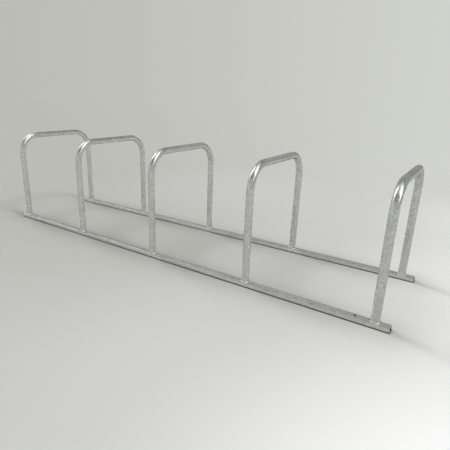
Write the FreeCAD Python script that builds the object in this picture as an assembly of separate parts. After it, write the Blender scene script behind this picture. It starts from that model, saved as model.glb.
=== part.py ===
import FreeCAD, Part
import math
import os

# Floor bike rack: five bent-tube hoops welded across two hollow-section rails, all steel.
# +X runs along the rails, +Y across the rack and +Z up. The origin is on the ground under
# the middle of the rack. Every length is in millimetres.

# Hoop: one steel tube, bent twice
TUBE_OD = 48.3            # a standard pipe size
TUBE_WALL = 3.2
HOOP_WIDTH = 800.0        # outside of one leg to outside of the other
HOOP_HEIGHT = 770.0       # from the rail's top face to the top of the bar
BEND_RADIUS = 160.0       # to the tube's centreline

# Row of hoops, evenly spaced about the middle of the rack
HOOP_COUNT = 5
HOOP_SPACING = 800.0      # centre to centre, so a bike stands each side of a hoop

# Rail: rectangular hollow section, 50 x 30 x 3, laid flat
RAIL_MARGIN = 0.85        # how far the rail stands out past the leg, each side
RAIL_HEIGHT = 30.0
RAIL_WALL = 3.0
RAIL_CORNER = 6.0         # outside radius of the section's rolled corners
RAIL_OVERHANG = 80.0      # rail end beyond the centre of the last hoop
RAIL_DEBURR = 0.8         # chamfer round the outside of each sawn end

# Holes in the rail
ANCHOR_BOLT = 12.0        # ground anchor, two to a rail
ANCHOR_CLEARANCE = 2.0    # on the diameter, through a zinc-coated hole
ANCHOR_INSET = 106.0      # from the last hoop's centre towards the middle of the rack
VENT_HOLE = 12.0          # under each leg, so that molten zinc drains out of the hoop

# Fillet weld round the foot of each leg
WELD_LEG = 5.0            # width on the rail and height on the tube

# Sizes that follow
TUBE_R = TUBE_OD / 2
BORE_R = TUBE_R - TUBE_WALL
RAIL_WIDTH = TUBE_OD + 2 * RAIL_MARGIN
RAIL_Y = (HOOP_WIDTH - TUBE_OD) / 2
BAR_Z = RAIL_HEIGHT + HOOP_HEIGHT - TUBE_R
HOOP_X = [(i - (HOOP_COUNT - 1) / 2) * HOOP_SPACING for i in range(HOOP_COUNT)]
RAIL_LENGTH = HOOP_X[-1] - HOOP_X[0] + 2 * RAIL_OVERHANG
ANCHOR_X = HOOP_X[-1] - ANCHOR_INSET
ANCHOR_HOLE = ANCHOR_BOLT + ANCHOR_CLEARANCE

UP = FreeCAD.Vector(0, 0, 1)
ALONG = FreeCAD.Vector(1, 0, 0)
ANGLE_TOLERANCE = 0.001   # radians, for telling which way a face looks


def line(start, end):
    """A straight edge between two points."""
    return Part.LineSegment(start, end).toShape()


def arc(start, middle, end):
    """A round edge through three points."""
    return Part.Arc(start, middle, end).toShape()


def hoop_centreline():
    """Up the front leg, round a bend, along the top bar, round a bend, down the back leg."""
    bend_z = BAR_Z - BEND_RADIUS
    bend_y = RAIL_Y - BEND_RADIUS
    half = BEND_RADIUS * math.sqrt(0.5)

    def point(y, z):
        return FreeCAD.Vector(0, y, z)

    front_foot = point(-RAIL_Y, RAIL_HEIGHT)
    front_bend = [point(-RAIL_Y, bend_z), point(-bend_y - half, bend_z + half), point(-bend_y, BAR_Z)]
    back_bend = [point(bend_y, BAR_Z), point(bend_y + half, bend_z + half), point(RAIL_Y, bend_z)]
    back_foot = point(RAIL_Y, RAIL_HEIGHT)
    return Part.Wire([
        line(front_foot, front_bend[0]),
        arc(*front_bend),
        line(front_bend[2], back_bend[0]),
        arc(*back_bend),
        line(back_bend[2], back_foot),
    ])


def bent_bar(path, radius):
    """A solid round bar that follows the path, cut square at both feet."""
    foot = Part.Wire(Part.makeCircle(radius, FreeCAD.Vector(0, -RAIL_Y, RAIL_HEIGHT), UP))
    return path.makePipeShell([foot], True, False)


def hoop(x):
    """One bent tube, open at both feet, standing on the rails at x."""
    path = hoop_centreline()
    tube = bent_bar(path, TUBE_R).cut(bent_bar(path, BORE_R))
    tube.translate(FreeCAD.Vector(x, 0, 0))
    return tube


def rail_section(inset):
    """The rail's outline, moved inwards by inset, as a face across the rail's left end."""
    half_width = RAIL_WIDTH / 2 - inset
    low = inset
    high = RAIL_HEIGHT - inset
    radius = RAIL_CORNER - inset
    half = radius * math.sqrt(0.5)
    flat_y = half_width - radius
    edges = []
    corners = [(1, 1, high), (-1, 1, high), (-1, -1, low), (1, -1, low)]

    def point(y, z):
        return FreeCAD.Vector(-RAIL_LENGTH / 2, y, z)

    ends = []
    for side, upper, level in corners:
        centre_z = level - upper * radius
        flank = point(side * half_width, centre_z)
        middle = point(side * (flat_y + half), centre_z + upper * half)
        flat = point(side * flat_y, level)
        turn = [flank, middle, flat] if side == upper else [flat, middle, flank]
        edges.append(arc(*turn))
        ends.append((turn[0], turn[2]))
    for i in range(len(corners)):
        edges.append(line(ends[i][1], ends[(i + 1) % len(corners)][0]))
    return Part.Face(Part.Wire(Part.__sortEdges__(edges)))


def upright_drill(diameter, x, low, high):
    """A drill along Z at x on the rail's middle line, from low to high."""
    return Part.makeCylinder(diameter / 2, high - low, FreeCAD.Vector(x, 0, low), UP)


def rail_bar():
    """The rail's outside shape along the X axis, deburred at its ends, with no bore and no holes."""
    bar = rail_section(0).extrude(ALONG * RAIL_LENGTH)
    sawn_ends = [face for face in bar.Faces if face.normalAt(0, 0).isParallel(ALONG, ANGLE_TOLERANCE)]
    return bar.makeChamfer(RAIL_DEBURR, [edge for end in sawn_ends for edge in end.Edges])


def rail(y):
    """A length of hollow section with two anchor holes and a vent under each leg."""
    bore = rail_section(RAIL_WALL).extrude(ALONG * RAIL_LENGTH)
    section = rail_bar().cut(bore)
    anchors = [upright_drill(ANCHOR_HOLE, x, -1, RAIL_HEIGHT + 1) for x in (-ANCHOR_X, ANCHOR_X)]
    vents = [upright_drill(VENT_HOLE, x, RAIL_HEIGHT / 2, RAIL_HEIGHT + 1) for x in HOOP_X]
    section = section.cut(anchors + vents)
    section.translate(FreeCAD.Vector(0, y, 0))
    return section


def foot_weld(x, y):
    """A fillet weld round a leg's foot.

    It is a ring with a sloped face, which also fills the gaps where the round leg overhangs
    the rail's rolled corners. It ends flush with the rail's sides.
    """
    low = RAIL_HEIGHT - RAIL_CORNER
    toe_r = TUBE_R + WELD_LEG

    def point(radius, z):
        return FreeCAD.Vector(radius, 0, z)

    inner_low = point(BORE_R, low)
    inner_high = point(BORE_R, RAIL_HEIGHT)
    root = point(TUBE_R, RAIL_HEIGHT)
    top = point(TUBE_R, RAIL_HEIGHT + WELD_LEG)
    toe = point(toe_r, RAIL_HEIGHT)
    outer_low = point(toe_r, low)
    outline = Part.Wire([
        line(inner_low, inner_high),
        line(inner_high, root),
        line(root, top),
        line(top, toe),
        line(toe, outer_low),
        line(outer_low, inner_low),
    ])
    ring = Part.Face(outline).revolve(FreeCAD.Vector(0, 0, 0), UP, 360)
    between_sides = Part.makeBox(2 * toe_r, RAIL_WIDTH, RAIL_CORNER + WELD_LEG,
                                 FreeCAD.Vector(-toe_r, -RAIL_WIDTH / 2, low))
    bead = ring.common(between_sides).cut(rail_bar())
    bead.translate(FreeCAD.Vector(x, y, 0))
    return bead


def main():
    pieces = {"rail_front": rail(-RAIL_Y), "rail_back": rail(RAIL_Y)}
    for number, x in enumerate(HOOP_X, start=1):
        pieces["hoop_%d" % number] = hoop(x)
        pieces["foot_weld_front_%d" % number] = foot_weld(x, -RAIL_Y)
        pieces["foot_weld_back_%d" % number] = foot_weld(x, RAIL_Y)
    os.makedirs("parts", exist_ok=True)
    for name, shape in pieces.items():
        shape.exportStep("parts/%s.step" % name)
        box = shape.optimalBoundingBox(True, False)
        print("%-20s %d solid(s)  %9.1f mm3  x %8.1f..%8.1f  y %7.1f..%7.1f  z %6.1f..%6.1f" % (
            name, len(shape.Solids), shape.Volume,
            box.XMin, box.XMax, box.YMin, box.YMax, box.ZMin, box.ZMax))


main()
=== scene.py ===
import math

import bpy
import numpy as np
from mathutils import Matrix, Vector


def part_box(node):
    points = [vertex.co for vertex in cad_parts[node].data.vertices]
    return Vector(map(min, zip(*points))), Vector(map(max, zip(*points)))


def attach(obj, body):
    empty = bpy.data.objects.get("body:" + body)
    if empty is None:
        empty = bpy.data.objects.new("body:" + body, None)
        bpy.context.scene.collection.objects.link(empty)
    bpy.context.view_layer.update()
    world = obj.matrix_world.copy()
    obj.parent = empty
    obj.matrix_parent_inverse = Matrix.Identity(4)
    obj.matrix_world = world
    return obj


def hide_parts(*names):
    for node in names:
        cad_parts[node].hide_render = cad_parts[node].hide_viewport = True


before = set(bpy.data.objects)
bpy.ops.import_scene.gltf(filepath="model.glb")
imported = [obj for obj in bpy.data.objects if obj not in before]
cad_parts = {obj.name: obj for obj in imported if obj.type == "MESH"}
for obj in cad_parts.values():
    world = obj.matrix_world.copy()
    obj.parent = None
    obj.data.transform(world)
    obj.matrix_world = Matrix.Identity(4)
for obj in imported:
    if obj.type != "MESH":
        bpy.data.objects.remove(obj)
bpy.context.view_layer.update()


# ---------------------------------------------------------------- hoops
# Five hoops, each one steel tube of 48.3 mm, bent twice on a mandrel to a 160 mm centreline radius.
# They are dipped in molten zinc after welding, which leaves crystals on the skin and long soft runs.

HOOP_COUNT = 5
TUBE_R = 0.02415
TUBE_WALL = 0.0032
BEND_R = 0.160
BEND_FLATTENING = 0.018        # how much thinner the tube is across the middle of a bend
RING_STEP = 0.004              # between rings of points along the tube
POINTS_ROUND = 72

RUNS_PER_TUBE = 9
LAST_RUN_START = 1.6           # along the tube from its front foot
RUN_LENGTHS = (0.12, 0.40)
RUN_WIDTHS = (0.0025, 0.005)
RUN_DEPTHS = (0.0001, 0.0003)
RUN_WANDER = 0.15              # how far a run strays sideways, in radians round the tube
RUN_WAVE = 9.0                 # radians of its sideways wave from one end to the other
RUN_SHIFT = 5.0                # so that no two runs stray alike
RUN_TAPER = 0.7                # below 1, so that a run's ends are blunt
RUN_THIN_END = 0.6             # its depth where it starts, as a share of that where it ends

ZINC_DARK = (0.60, 0.607, 0.597)
ZINC_LIGHT = (0.84, 0.84, 0.825)
# the colour of the painted glints in the large crystals
ZINC_GLINT = (0.98, 0.98, 0.965)
ZINC_BORE_SHADE = (0.07, 0.07, 0.07)  # painted shade inside a hollow section
ZINC_METAL = 0.88
ZINC_EDGE_TINT = (0.78, 0.78, 0.78, 1)
ZINC_EDGE_LEVEL = 0.1
CRYSTAL_CONTRAST = 0.34        # contrasts are shares of the step from dark zinc to light
SMALL_CONTRAST = 0.14
CLOUD_CONTRAST = 0.60
FEATHER_CONTRAST = 0.03
SMALL_CRYSTALS = 2.6           # small crystals to a large one's width
FEATHERS = 22                  # how fast a crystal's feathered lines follow one another
FEATHER_SHIFT = 6              # how far a small crystal moves the lines on, in radians
CRYSTAL_WARP = 0.8             # how far a crystal's edge strays, as a share of its width
WARP_SCALE = 0.7               # bends of an edge to a crystal's width
CLOUD_SCALE = 11.0             # clouds to the metre
GLINT_FLECK_SHARE = (0.86, 0.93)     # small crystals drawn above the second get painted glints, above the first faint ones
GLINT_SPOT_SHARE = 0.84              # large crystals drawn above this get a painted glint, a light spot
GLINT_SPOT_EDGE = 0.45               # the painted glint's radius, as a share of a crystal's width
GLINT_SPOT_CORE = 0.10               # and the radius within which it is at its lightest
ZINC_ROUGHNESS = 0.42          # before a finish's gloss is taken off
CRYSTAL_ROUGHNESS = 0.08       # how much rougher or smoother a crystal is
SMALL_ROUGHNESS = 0.05
FEATHER_ROUGHNESS = 0.01
GRAIN_SCALE = 260.0            # grains to the metre
GRAIN_DEPTH = 0.0001
GRAIN_STRENGTH = 0.2


def grid_faces(rows, columns, close_rows=False):
    """The quads of a grid whose columns join up in a ring, and whose rows may join up too."""
    row = np.arange(rows if close_rows else rows - 1)[:, None]
    column = np.arange(columns)[None, :]
    beyond = (row + 1) % rows
    right = (column + 1) % columns
    corners = [
        row * columns + column,
        row * columns + right,
        beyond * columns + right,
        beyond * columns + column,
    ]
    return np.stack(np.broadcast_arrays(*corners), axis=-1).reshape(-1, 4)


def add_piece(name, points, faces, material):
    """A smooth object at the origin whose mesh holds the points and the faces."""
    mesh = bpy.data.meshes.new(name)
    mesh.from_pydata(points.reshape(-1, 3).tolist(), [], faces.tolist())
    mesh.shade_smooth()
    mesh.materials.append(material)
    mesh.validate()
    piece = bpy.data.objects.new(name, mesh)
    bpy.context.collection.objects.link(piece)
    return piece


def hoop_line(box_low, box_high):
    """The centreline, ring by ring: length so far, y, z, angle turned, and depth into a bend.

    With s the length along the tube from the front foot, the angle turned is the part of s in the
    first bend over the bend's radius, plus the same for the second. The place is the front foot,
    plus the leg climbed, plus each bend's (1 - cos, sin), plus the bar crossed, less the leg
    gone down. The depth into a bend is sin(2 * angle)^2, 1 in its middle and 0 at its ends.
    """
    foot = box_low.z
    side = box_high.y - TUBE_R
    leg = box_high.z - TUBE_R - BEND_R - foot
    bend = BEND_R * math.pi / 2
    bar = 2 * (side - BEND_R)
    whole = 2 * (leg + bend) + bar
    s = np.linspace(0, whole, round(whole / RING_STEP) + 1)
    up = np.clip(s, 0, leg)
    first = np.clip(s - leg, 0, bend) / BEND_R
    across = np.clip(s - leg - bend, 0, bar)
    second = np.clip(s - leg - bend - bar, 0, bend) / BEND_R
    down = np.clip(s - whole + leg, 0, leg)
    y = -side + BEND_R * (1 - np.cos(first)) + across + BEND_R * np.sin(second)
    z = foot + up + BEND_R * np.sin(first) - BEND_R * (1 - np.cos(second)) - down
    turned = first + second
    bent = np.sin(2 * first) ** 2 + np.sin(2 * second) ** 2
    return s, y, z, turned, bent


def tube_skin(x, box_low, box_high, radius, runs=()):
    """The tube's skin as a grid of points, rings along it by columns round it.

    At the length s and the angle a round the tube, a point lies at the centreline plus
    radius * cos(a) along the outward normal, (-cos, sin) of the angle turned, and
    radius * sin(a) along x. In a bend the first of the two is a little shorter. Along a zinc run's
    wavy edge the skin is lower by depth * exp(-(d / width)^2), with d the distance to that edge,
    and this fades out at the run's two ends.
    """
    s, y, z, turned, bent = hoop_line(box_low, box_high)
    around = np.linspace(0, 2 * math.pi, POINTS_ROUND, endpoint=False)[None, :]
    skin = np.full((len(s), POINTS_ROUND), radius)
    for start, length, angle, width, depth in runs:
        along = np.clip((s[:, None] - start) / length, 0, 1)
        off_line = (around - angle + math.pi) % (2 * math.pi) - math.pi
        off_line = off_line + RUN_WANDER * np.sin(RUN_WAVE * along + RUN_SHIFT * angle)
        strength = np.sin(math.pi * along) ** RUN_TAPER * (RUN_THIN_END + (1 - RUN_THIN_END) * along)
        skin = skin - depth * strength * np.exp(-(off_line * radius / width) ** 2)
    outward = skin * np.cos(around) * (1 - BEND_FLATTENING * bent[:, None])
    sideways = skin * np.sin(around)
    points = np.empty(skin.shape + (3,))
    points[..., 0] = x + sideways
    points[..., 1] = y[:, None] - outward * np.cos(turned)[:, None]
    points[..., 2] = z[:, None] + outward * np.sin(turned)[:, None]
    return points


class Paint:
    """A shader tree and one socket in it. A formula written with it adds its Math nodes."""

    def __init__(self, tree, socket=None):
        self.tree = tree
        self.socket = socket

    def node(self, kind, settings=None, inputs=None, output=0):
        """Adds a node, sets what settings names, feeds its sockets and gives one of its outputs."""
        made = self.tree.nodes.new(kind)
        for name, value in (settings or {}).items():
            if name == "stops":
                ramp = made.color_ramp.elements
                while len(ramp) < len(value):
                    ramp.new(0.5)
                for stop, (place, level) in zip(ramp, value):
                    stop.position = place
                    stop.color = (level, level, level, 1)
            else:
                setattr(made, name, value)
        for name, value in (inputs or {}).items():
            self.feed(made.inputs[name], value)
        return Paint(self.tree, made.outputs[output])

    def feed(self, socket, value):
        """Links a Paint to the socket, or sets the socket to a plain value."""
        if isinstance(value, Paint):
            self.tree.links.new(value.socket, socket)
        elif getattr(socket, "type", "") == "RGBA":
            socket.default_value = (*value, 1)
        else:
            socket.default_value = value

    def out(self, name):
        """Another output of the node that this socket belongs to."""
        return Paint(self.tree, self.socket.node.outputs[name])

    def number(self, operation, left, right=0.0):
        """One Math node."""
        return self.node("ShaderNodeMath", {"operation": operation}, {0: left, 1: right})

    def vector(self, operation, left, right=(0, 0, 0), output="Vector"):
        """One Vector Math node."""
        return self.node("ShaderNodeVectorMath", {"operation": operation}, {0: left, 1: right}, output)

    def mix(self, factor, low, high):
        """A colour between two colours."""
        made = self.node("ShaderNodeMix", {"data_type": "RGBA"}, output=2)
        sockets = made.socket.node.inputs
        self.feed(sockets[0], factor)
        self.feed(sockets[6], low)
        self.feed(sockets[7], high)
        return made

    def smooth_step(self, value, none, full, most=1.0):
        """0 where value is at none, rising smoothly to most where it is at full."""
        return self.node("ShaderNodeMapRange", {"interpolation_type": "SMOOTHSTEP"},
                         {"Value": value, "From Min": none, "From Max": full, "To Min": 0.0, "To Max": most})

    def __add__(self, other):
        return self.number("ADD", self, other)

    def __radd__(self, other):
        return self.number("ADD", other, self)

    def __sub__(self, other):
        return self.number("SUBTRACT", self, other)

    def __rsub__(self, other):
        return self.number("SUBTRACT", other, self)

    def __mul__(self, other):
        return self.number("MULTIPLY", self, other)

    def __rmul__(self, other):
        return self.number("MULTIPLY", other, self)

    def __abs__(self):
        return self.number("ABSOLUTE", self)


def new_material(name):
    """A material, its Paint and its Principled shader."""
    material = bpy.data.materials.new(name)
    material.use_nodes = True
    shader = material.node_tree.nodes["Principled BSDF"]
    return material, Paint(material.node_tree), shader


def zinc_finish(name, crystal, tone, gloss, tilt, glint_flecks, glint_spots, painted_shade_mask=None):
    """Hot-dip zinc: crystals of their own brightness, gloss and tilt, feathered inside, with painted glints.

    crystal is a crystal's width in metres, tone lightens all, gloss lowers the roughness, tilt is
    how far a crystal's face leans; the next two are the strengths of the small sharp painted glints
    and of the wide soft ones, and the last, if given, makes a mask of where painted shade goes.
    """
    material, paint, shader = new_material(name)
    middle_grey = (0.5, 0.5, 0.5)
    place = paint.node("ShaderNodeTexCoord", output="Object")
    warp = paint.node("ShaderNodeTexNoise", {},
                      {"Vector": place, "Scale": WARP_SCALE / crystal, "Detail": 2.0}, "Color")
    warp = paint.vector("SUBTRACT", warp, middle_grey)
    warp = paint.vector("MULTIPLY", warp, (crystal * CRYSTAL_WARP,) * 3)
    warped_place = paint.vector("ADD", place, warp)

    large = paint.node("ShaderNodeTexVoronoi", {"feature": "F1"},
                       {"Vector": warped_place, "Scale": 1 / crystal, "Randomness": 1.0}, "Color")
    small = paint.node("ShaderNodeTexVoronoi", {"feature": "F1"},
                       {"Vector": warped_place, "Scale": SMALL_CRYSTALS / crystal, "Randomness": 1.0},
                       "Color")
    large_draw = paint.node("ShaderNodeSeparateColor", {}, {"Color": large}, "Red")
    small_draw = paint.node("ShaderNodeSeparateColor", {}, {"Color": small}, "Red")
    lean = paint.vector("SUBTRACT", large, middle_grey)
    streak = paint.vector("DOT_PRODUCT", warped_place, lean, "Value")
    feather = paint.number("SINE", streak * (FEATHERS / crystal) + small_draw.out("Green") * FEATHER_SHIFT)
    cloud = paint.node("ShaderNodeTexNoise", {},
                       {"Vector": place, "Scale": CLOUD_SCALE, "Detail": 3.0}, "Fac")
    # painted glints: small crystals made lighter, as if they caught the light
    glint_fleck = paint.node("ShaderNodeValToRGB", {"stops": [(GLINT_FLECK_SHARE[0], 0), (GLINT_FLECK_SHARE[1], 1)]},
                       {"Fac": small_draw.out("Blue")})
    level = (tone
             + CRYSTAL_CONTRAST * (large_draw - 0.5)
             + SMALL_CONTRAST * (small_draw - 0.5)
             + FEATHER_CONTRAST * feather
             + CLOUD_CONTRAST * (cloud - 0.5)
             + glint_flecks * glint_fleck)
    colour = paint.mix(level, ZINC_DARK, ZINC_LIGHT)
    # painted glints: a soft light spot in some large crystals
    spot = paint.smooth_step(large.out("Distance"), GLINT_SPOT_EDGE, GLINT_SPOT_CORE, glint_spots)
    spot = spot * paint.number("GREATER_THAN", large_draw.out("Blue"), GLINT_SPOT_SHARE) * large_draw.out("Green")
    colour = paint.mix(spot, colour, ZINC_GLINT)
    # painted shade: near black where the mask is 1
    if painted_shade_mask:
        colour = paint.mix(painted_shade_mask(paint, place), colour, ZINC_BORE_SHADE)

    rough = (ZINC_ROUGHNESS - gloss
             + CRYSTAL_ROUGHNESS * (large_draw.out("Green") - 0.5)
             + SMALL_ROUGHNESS * (small_draw.out("Green") - 0.5)
             + FEATHER_ROUGHNESS * feather)
    face = paint.node("ShaderNodeNewGeometry", output="Normal")
    face = paint.vector("ADD", face, paint.vector("MULTIPLY", lean, (tilt,) * 3))
    face = paint.vector("NORMALIZE", face)
    grain = paint.node("ShaderNodeTexNoise", {},
                       {"Vector": place, "Scale": GRAIN_SCALE, "Detail": 2.0}, "Fac")
    skin = paint.node("ShaderNodeBump", {},
                      {"Height": grain, "Distance": GRAIN_DEPTH, "Strength": GRAIN_STRENGTH, "Normal": face})
    paint.feed(shader.inputs["Base Color"], colour)
    paint.feed(shader.inputs["Roughness"], rough)
    paint.feed(shader.inputs["Normal"], skin)
    shader.inputs["Metallic"].default_value = ZINC_METAL
    shader.inputs["Specular IOR Level"].default_value = ZINC_EDGE_LEVEL
    shader.inputs["Specular Tint"].default_value = ZINC_EDGE_TINT
    return material


tube_zinc = zinc_finish("tube_zinc", crystal=0.017, tone=0.50, gloss=0.19, tilt=0.03, glint_flecks=1.3, glint_spots=1.3)

for number in range(1, HOOP_COUNT + 1):
    node = "hoop_%d" % number
    box_low, box_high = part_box(node)
    middle = (box_low.x + box_high.x) / 2
    chance = np.random.default_rng(number)
    runs = [
        (
            chance.uniform(0.0, LAST_RUN_START),
            chance.uniform(*RUN_LENGTHS),
            chance.uniform(0, 2 * math.pi),
            chance.uniform(*RUN_WIDTHS),
            chance.uniform(*RUN_DEPTHS),
        )
        for run in range(RUNS_PER_TUBE)
    ]
    outside = tube_skin(middle, box_low, box_high, TUBE_R, runs)
    inside = tube_skin(middle, box_low, box_high, TUBE_R - TUBE_WALL)[::-1]
    rings = np.concatenate([outside, inside])
    faces = grid_faces(len(rings), POINTS_ROUND, close_rows=True)
    tube = add_piece("bent_tube_%d" % number, rings, faces, tube_zinc)
    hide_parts(node)
    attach(tube, "root")


# ---------------------------------------------------------------- rails
# Two floor rails of rolled 50 x 30 box section with 6 mm corners. Anchor holes go through both walls.
# They are the same dipped steel as the hoops, a little lighter and glossier, with painted shade inside the
# bore.

SKIN = 0.0015                  # how deep the bright finish goes into a hole before the painted shade inside begins
rail_low, rail_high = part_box("rail_back")
RAIL_END = rail_high.x
RAIL_TOP = rail_high.z
RAIL_MIDDLE = (rail_low.y + rail_high.y) / 2
RAIL_HALF = (rail_high.y - rail_low.y) / 2


# The mask of painted shade inside the rails.
def in_the_bore(paint, place):
    """1 more than a skin's depth inside the rail's box, 0 on its outside."""
    x = paint.node("ShaderNodeSeparateXYZ", {}, {"Vector": place}, "X")
    off_middle = abs(abs(x.out("Y")) - RAIL_MIDDLE)
    off_half_height = abs(x.out("Z") - RAIL_TOP / 2)
    inside = paint.number("LESS_THAN", abs(x), RAIL_END - SKIN)
    inside = inside * paint.number("LESS_THAN", off_middle, RAIL_HALF - SKIN)
    return inside * paint.number("LESS_THAN", off_half_height, RAIL_TOP / 2 - SKIN)


rail_zinc = zinc_finish("rail_zinc", crystal=0.014, tone=0.68, gloss=0.21, tilt=0.03, glint_flecks=0.9, glint_spots=0.6,
                        painted_shade_mask=in_the_bore)
for node in ("rail_front", "rail_back"):
    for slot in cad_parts[node].material_slots:
        slot.material = rail_zinc


# ---------------------------------------------------------------- foot welds
# A hand-laid fillet weld goes round each leg's foot and wraps down over the rail's rolled corners.
# The bead froze in overlapping scales, and the zinc has rounded them.

WELD_LEG = 0.005
RAIL_CORNER = 0.006
BEAD_COLUMNS = 260
BEAD_ROWS = 14
BEAD_BULGE = 0.0004            # how far the face stands out of its straight slope
HAND_WAVES = 5                 # waves that make up the hand's unevenness round the leg
WAVE_TURN = 6.28               # how far round the leg a wave may start, in radians
WIDTH_WANDER = 0.05            # how uneven the hand was, as a share of the weld's leg
HEIGHT_WANDER = 0.06
NEARLY_NONE = 1e-6             # the least that a length is divided by
SCALE_LENGTH = 0.0032          # of one scale along the bead
SCALE_HEIGHT = 0.00035
SCALE_SHARPNESS = 0.6          # below 1, so that the humps are broad and the gaps narrow
SCALE_BEND = 1.3               # how far a scale's two edges trail behind its middle
SCALE_WANDER = 0.6
TOE_TUCK = 0.0015              # the closed underside, drawn in from the toe
ROOT_TUCK = 0.001              # into the tube's wall
UNDER_DEPTH = 0.002            # below the toe


def foot_bead(centre, chance):
    """The bead as a grid of points, rows across its face and underside by columns round the leg.

    At the angle a round the leg, the toe's radius is the smaller of the leg's radius plus the
    weld's width and the rail's half width over |sin a|. The toe's height is the rail's surface:
    flat, and past its rolled corner a quarter round. The face runs from the tube to the toe with
    a bulge, sin(pi t), and its scales are humps of |sin| along the bead, bent back at the edges.
    The hand's unevenness is a sum of sine waves round the leg, the k-th of them 1 / k as strong.
    """
    a = np.linspace(0, 2 * math.pi, BEAD_COLUMNS, endpoint=False)[None, :]
    t = np.linspace(0, 1, BEAD_ROWS)[:, None]
    scales = round(2 * math.pi * (TUBE_R + WELD_LEG / 2) / SCALE_LENGTH)
    slow = sum(
        chance.uniform(-1, 1) * np.sin(k * a + chance.uniform(0, WAVE_TURN)) / k
        for k in range(1, HAND_WAVES + 1)
    )
    width = WELD_LEG * (1 + WIDTH_WANDER * slow)
    toe = np.minimum(TUBE_R + width, RAIL_HALF / np.maximum(np.abs(np.sin(a)), NEARLY_NONE))
    past = np.clip(np.abs(toe * np.sin(a)) - (RAIL_HALF - RAIL_CORNER), 0, RAIL_CORNER)
    toe_z = RAIL_TOP - RAIL_CORNER + np.sqrt(RAIL_CORNER ** 2 - past ** 2)
    top_z = RAIL_TOP + WELD_LEG * (1 + HEIGHT_WANDER * slow)
    radius = TUBE_R + (toe - TUBE_R) * t
    height = top_z + (toe_z - top_z) * t
    phase = scales * a / 2 + SCALE_BEND * (2 * t - 1) ** 2 + SCALE_WANDER * slow
    scale = np.abs(np.sin(phase)) ** SCALE_SHARPNESS
    bulge = np.sin(math.pi * t) * (BEAD_BULGE + SCALE_HEIGHT * scale)
    slope = np.hypot(toe - TUBE_R, top_z - toe_z)
    radius = radius + bulge * (top_z - toe_z) / slope
    height = height + bulge * (toe - TUBE_R) / slope
    root = np.full_like(toe, TUBE_R - ROOT_TUCK)
    radius = np.concatenate([radius, toe - TOE_TUCK, root, root])
    height = np.concatenate([height, toe_z - UNDER_DEPTH, toe_z - UNDER_DEPTH, top_z])
    points = np.empty(radius.shape + (3,))
    points[..., 0] = centre.x + radius * np.cos(a)
    points[..., 1] = centre.y + np.clip(radius * np.sin(a), -RAIL_HALF, RAIL_HALF)
    points[..., 2] = height
    return points


weld_zinc = zinc_finish("weld_zinc", crystal=0.006, tone=0.90, gloss=0.06, tilt=0.08, glint_flecks=0.6, glint_spots=0.0)

for side, first_seed in (("front", 100), ("back", 110)):
    for number in range(1, HOOP_COUNT + 1):
        node = "foot_weld_%s_%d" % (side, number)
        box_low, box_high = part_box(node)
        points = foot_bead((box_low + box_high) / 2, np.random.default_rng(first_seed + number))
        faces = grid_faces(len(points), BEAD_COLUMNS, close_rows=True)
        bead = add_piece("bead_%s_%d" % (side, number), points, faces, weld_zinc)
        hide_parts(node)
        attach(bead, "root")


# ---------------------------------------------------------------- studio floor
# A pale floor, painted lighter towards the right like the backdrop, that runs out into the backdrop with no
# edge.
# Pools of light, the soft shade under the rack and the thin dark line beside a rail are painted on
# it for the camera alone, and the steel mirrors an even floor. None of it belongs to the rack.

FLOOR_R = 60.0
FLOOR_RINGS = 40
FLOOR_SIDES = 96
FLOOR_START = 0.001            # the first ring's place, where the last one's is 1
FLOOR_DROP = 0.0003            # below z = 0, so that the rails' undersides don't flicker with it
FLOOR_ROUGHNESS = 0.9
FLOOR_SHARE = 0.845            # the floor's paint to the backdrop's, so that the two meet unseen
FLOOR_TINT = (1.004, 0.994, 1.029)       # takes a slight yellow-green cast out of the lit floor
FADE_START = 1.6               # distance at which the floor starts to turn into the backdrop's painted glow
FADE_END = 9.0
MIRRORED_PAINT = (0.545, 0.549, 0.531)   # an even floor, as the steel mirrors it

BACKDROP_LEFT = (0.593, 0.600, 0.560)
BACKDROP_RIGHT = (0.720, 0.727, 0.695)
LEFT_AIM = -0.87               # the backdrop is darkest where a level direction's x is this
RIGHT_AIM = -0.05              # and lightest where it is this
NEAR_SPREAD = 2.0              # metres, which soften the change from left to right near the rack

POOL_PAINT = (1.13, 1.13, 1.125)
POOLS = [                      # light on the floor: its middle, where it starts, where it is full, how much
    ((2.6, 0.45, 0), 1.55, 0.3, 0.40),
    ((2.9, -1.6, 0), 2.05, 0.5, 0.92),
    ((-0.9, 1.8, 0), 2.2, 0.3, 0.06),
    ((3.0, 2.2, 0), 2.1, 0.6, 0.32),
    ((0.8, -1.2, 0), 0.9, 0.1, 0.06),
]
RAIL_SHADE = 0.10              # soft shade beside a rail, and the rate at which it falls off
RAIL_SHADE_FALL = 60.0
CONTACT_SHADE = 0.55           # the thin dark line where a rail touches the floor
CONTACT_FALL = 28000.0
BAY_SHADE = 0.012              # between the rails
BAY_EDGES = (0.60, 0.25)       # |y| where it starts, and where it is full
BAY_END_FALL = 20.0            # the rate at which it falls off past the rails' ends
PATCH_SHADE = 0.025            # a deeper patch there, about this x
PATCH_X = 0.70
PATCH_FALL = 4.0


def studio_disc():
    """A flat disc, just under z = 0.

    At the angle a and the radius r, the point is r * (cos a, sin a). The radius grows as the
    square of a ring's place, so that the rings are close together near the rack.
    """
    a = np.linspace(0, 2 * math.pi, FLOOR_SIDES, endpoint=False)[None, :]
    radius = np.linspace(FLOOR_START, 1, FLOOR_RINGS)[:, None] ** 2 * FLOOR_R
    return np.stack(np.broadcast_arrays(radius * np.cos(a), radius * np.sin(a), -FLOOR_DROP), axis=-1)


def fall_off(squared_distance, rate):
    """exp(-rate * squared_distance): 1 at no distance, and near 0 far off."""
    return squared_distance.number("EXPONENT", squared_distance * -rate)


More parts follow.
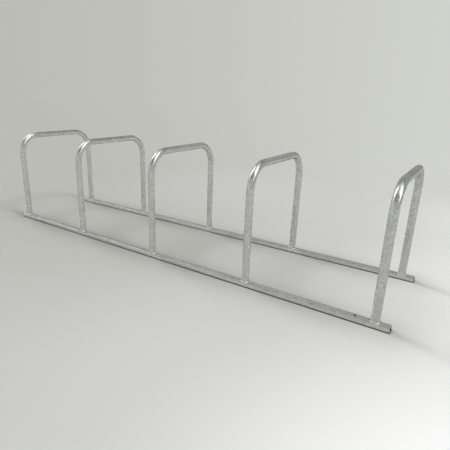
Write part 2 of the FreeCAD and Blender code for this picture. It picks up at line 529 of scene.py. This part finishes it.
material, paint, shader = new_material("studio_paint")
place = paint.node("ShaderNodeTexCoord", output="Object")
across = paint.node("ShaderNodeSeparateXYZ", {}, {"Vector": place}, "X")
far = paint.vector("LENGTH", paint.vector("MULTIPLY", place, (1, 1, 0)), output="Value")
# the floor is painted lighter towards the right
rightness = paint.number("DIVIDE", across - far * LEFT_AIM, (far + NEAR_SPREAD) * (RIGHT_AIM - LEFT_AIM))
rightness = paint.node("ShaderNodeClamp", {}, {"Value": rightness})
backdrop = paint.mix(rightness, BACKDROP_LEFT, BACKDROP_RIGHT)
floor_paint = backdrop
for spot, reach, core, strength in POOLS:
    pool = paint.smooth_step(paint.vector("DISTANCE", place, spot, "Value"), reach, core, strength)
    floor_paint = paint.mix(pool, floor_paint, POOL_PAINT)

off_middle = abs(across.out("Y"))
past_end = paint.number("MAXIMUM", abs(across) - RAIL_END, 0.0)
beside = paint.number("MAXIMUM", abs(off_middle - RAIL_MIDDLE) - RAIL_HALF, 0.0)
gap = past_end * past_end + beside * beside
off_patch = across - PATCH_X
bay = paint.smooth_step(off_middle, *BAY_EDGES) * fall_off(past_end * past_end, BAY_END_FALL)
bay = bay * (BAY_SHADE + PATCH_SHADE * fall_off(off_patch * off_patch, PATCH_FALL))
shade = 1 - RAIL_SHADE * fall_off(gap, RAIL_SHADE_FALL) - CONTACT_SHADE * fall_off(gap, CONTACT_FALL) - bay
shade = shade * FLOOR_SHARE
shade = paint.node("ShaderNodeCombineXYZ", {}, {axis: shade * share for axis, share in enumerate(FLOOR_TINT)})
seen = paint.node("ShaderNodeLightPath", output="Is Camera Ray")
floor_paint = paint.mix(seen, MIRRORED_PAINT, paint.vector("MULTIPLY", floor_paint, shade))
# far off, the floor's colour gives way to a painted glow in the backdrop's colour
fade = paint.smooth_step(far, FADE_START, FADE_END)
paint.feed(shader.inputs["Base Color"], paint.mix(fade, floor_paint, (0, 0, 0)))
paint.feed(shader.inputs["Emission Color"], paint.mix(fade, (0, 0, 0), backdrop))
shader.inputs["Emission Strength"].default_value = 1.0
shader.inputs["Roughness"].default_value = FLOOR_ROUGHNESS
shader.inputs["Specular IOR Level"].default_value = 0.0
points = studio_disc()
floor = add_piece("studio_floor", points, grid_faces(len(points), FLOOR_SIDES), material)


# ---------------------------------------------------------------- studio light
# A dim ceiling with one soft box of light past each end of the rack, which the steel mirrors.
# A soft lamp beside each box lights the floor, and the steel doesn't mirror the lamps.

RIGHT_BOX = (-4, 50, 0.29, 0.40)         # degrees round from +x and up, half width, half height
LEFT_BOX = (176, 40, 0.18, 0.34)
RIGHT_BOX_POWER = 1.5
LEFT_BOX_POWER = 2.2
BOX_EDGE = 0.25                # how far the boxes' edges fade in and out, as a share of their size
RIGHT_LAMP = (-4, 50, 1.20)              # degrees round from +x and up, strength
LEFT_LAMP = (168, 40, 0.60)
LAMP_ANGLE = 0.28              # how wide each lamp looks from the rack, in radians

# How light the ceiling is where a direction's z is the first number of each pair.
CEILING = [(0.0, 0.57), (0.20, 0.56), (0.57, 0.50), (0.66, 0.29), (0.77, 0.25), (0.95, 0.70)]
CEILING_TINT = (0.99, 1.0, 0.968)
CEILING_LEVEL = 1.03
FRONT_LEFT = (-0.643, -0.766, 0)         # a level direction
FRONT_SHARE = 0.36             # how much lighter the ceiling is to the front left, and darker behind
FRONT_FALL = 1.5               # how fast that difference dies away overhead


def light_axes(round_from_x, climb):
    """The unit vectors towards a far-off light, level across it and up it. Angles are in degrees."""
    c = math.radians(round_from_x)
    e = math.radians(climb)
    ahead = (math.cos(c) * math.cos(e), math.sin(c) * math.cos(e), math.sin(e))
    across = (-math.sin(c), math.cos(c), 0)
    up = (-math.cos(c) * math.sin(e), -math.sin(c) * math.sin(e), math.cos(e))
    return ahead, across, up


def soft_box(direction, round_from_x, climb, half_width, half_height):
    """1 inside a far-off rectangle of light, 0 outside it, with soft edges."""
    ahead, across, up = light_axes(round_from_x, climb)
    towards = direction.vector("DOT_PRODUCT", direction, ahead, "Value")
    inside = direction.number("GREATER_THAN", towards, 0.0)
    for axis, half in ((across, half_width), (up, half_height)):
        offset = abs(direction.vector("DOT_PRODUCT", direction, axis, "Value"))
        inside = inside * direction.smooth_step(offset, half * (1 + BOX_EDGE), half * (1 - BOX_EDGE))
    return inside


def soft_lamp(name, round_from_x, climb, strength):
    """A far-off lamp that lights the floor and doesn't show in the steel."""
    source = bpy.data.lights.new(name, "SUN")
    source.angle = LAMP_ANGLE
    source.energy = strength
    lamp = bpy.data.objects.new(name, source)
    towards = Vector(light_axes(round_from_x, climb)[0])
    lamp.matrix_world = towards.to_track_quat("Z", "Y").to_matrix().to_4x4()
    lamp.visible_glossy = False
    bpy.context.collection.objects.link(lamp)


soft_lamp("right_lamp", *RIGHT_LAMP)
soft_lamp("left_lamp", *LEFT_LAMP)

world = bpy.data.worlds.new("studio_ceiling")
world.use_nodes = True
bpy.context.scene.world = world
sky = Paint(world.node_tree)
direction = sky.node("ShaderNodeTexCoord", output="Generated")
lift = sky.node("ShaderNodeSeparateXYZ", {}, {"Vector": direction}, "Z")
ceiling = sky.node("ShaderNodeValToRGB", {"stops": CEILING}, {"Fac": lift})
forward = sky.vector("DOT_PRODUCT", direction, FRONT_LEFT, "Value")
glow = ceiling * (CEILING_LEVEL + FRONT_SHARE * forward * (1 - FRONT_FALL * lift))
glow = glow + soft_box(direction, *RIGHT_BOX) * RIGHT_BOX_POWER
glow = glow + soft_box(direction, *LEFT_BOX) * LEFT_BOX_POWER
glow = sky.node("ShaderNodeCombineXYZ", {}, {0: glow, 1: glow, 2: glow})
glow = sky.vector("MULTIPLY", glow, CEILING_TINT)

# what the camera sees of the sky is the backdrop, painted lighter towards the right
level_view = sky.vector("NORMALIZE", sky.vector("MULTIPLY", direction, (1, 1, 0)))
aim = sky.node("ShaderNodeSeparateXYZ", {}, {"Vector": level_view}, "X")
rightness = sky.node("ShaderNodeMapRange", {"clamp": True},
                     {"Value": aim, "From Min": LEFT_AIM, "From Max": RIGHT_AIM})
backdrop = sky.mix(rightness, BACKDROP_LEFT, BACKDROP_RIGHT)
seen = sky.node("ShaderNodeLightPath", output="Is Camera Ray")
sky.feed(world.node_tree.nodes["Background"].inputs["Color"], sky.mix(seen, glow, backdrop))


# ---------------------------------------------------------------- camera
# Chest height at the right-hand end of the rack, looking along it and a little down.
# Nothing is out of focus.

CAMERA_PLACE = (1.9109, -2.4462, 1.1700)
CAMERA_YAW = 0.6088
CAMERA_PITCH = 0.3129
CAMERA_ROLL = 0.0218
LENS_MM = 31.83
SENSOR_MM = 36
PICTURE_SHIFT = (0.0465, -0.0035)
PICTURE_GAMMA = 0.75

lens = bpy.data.cameras.new("camera")
lens.lens = LENS_MM
lens.sensor_width = SENSOR_MM
lens.shift_x, lens.shift_y = PICTURE_SHIFT
camera = bpy.data.objects.new("camera", lens)
turn = Matrix.Rotation(CAMERA_YAW, 4, "Z") @ Matrix.Rotation(math.pi / 2 - CAMERA_PITCH, 4, "X")
camera.matrix_world = Matrix.Translation(CAMERA_PLACE) @ turn @ Matrix.Rotation(CAMERA_ROLL, 4, "Z")
bpy.context.collection.objects.link(camera)
scene = bpy.context.scene
scene.camera = camera
scene.view_settings.view_transform = "Standard"
scene.view_settings.gamma = PICTURE_GAMMA
scene.cycles.use_denoising = True
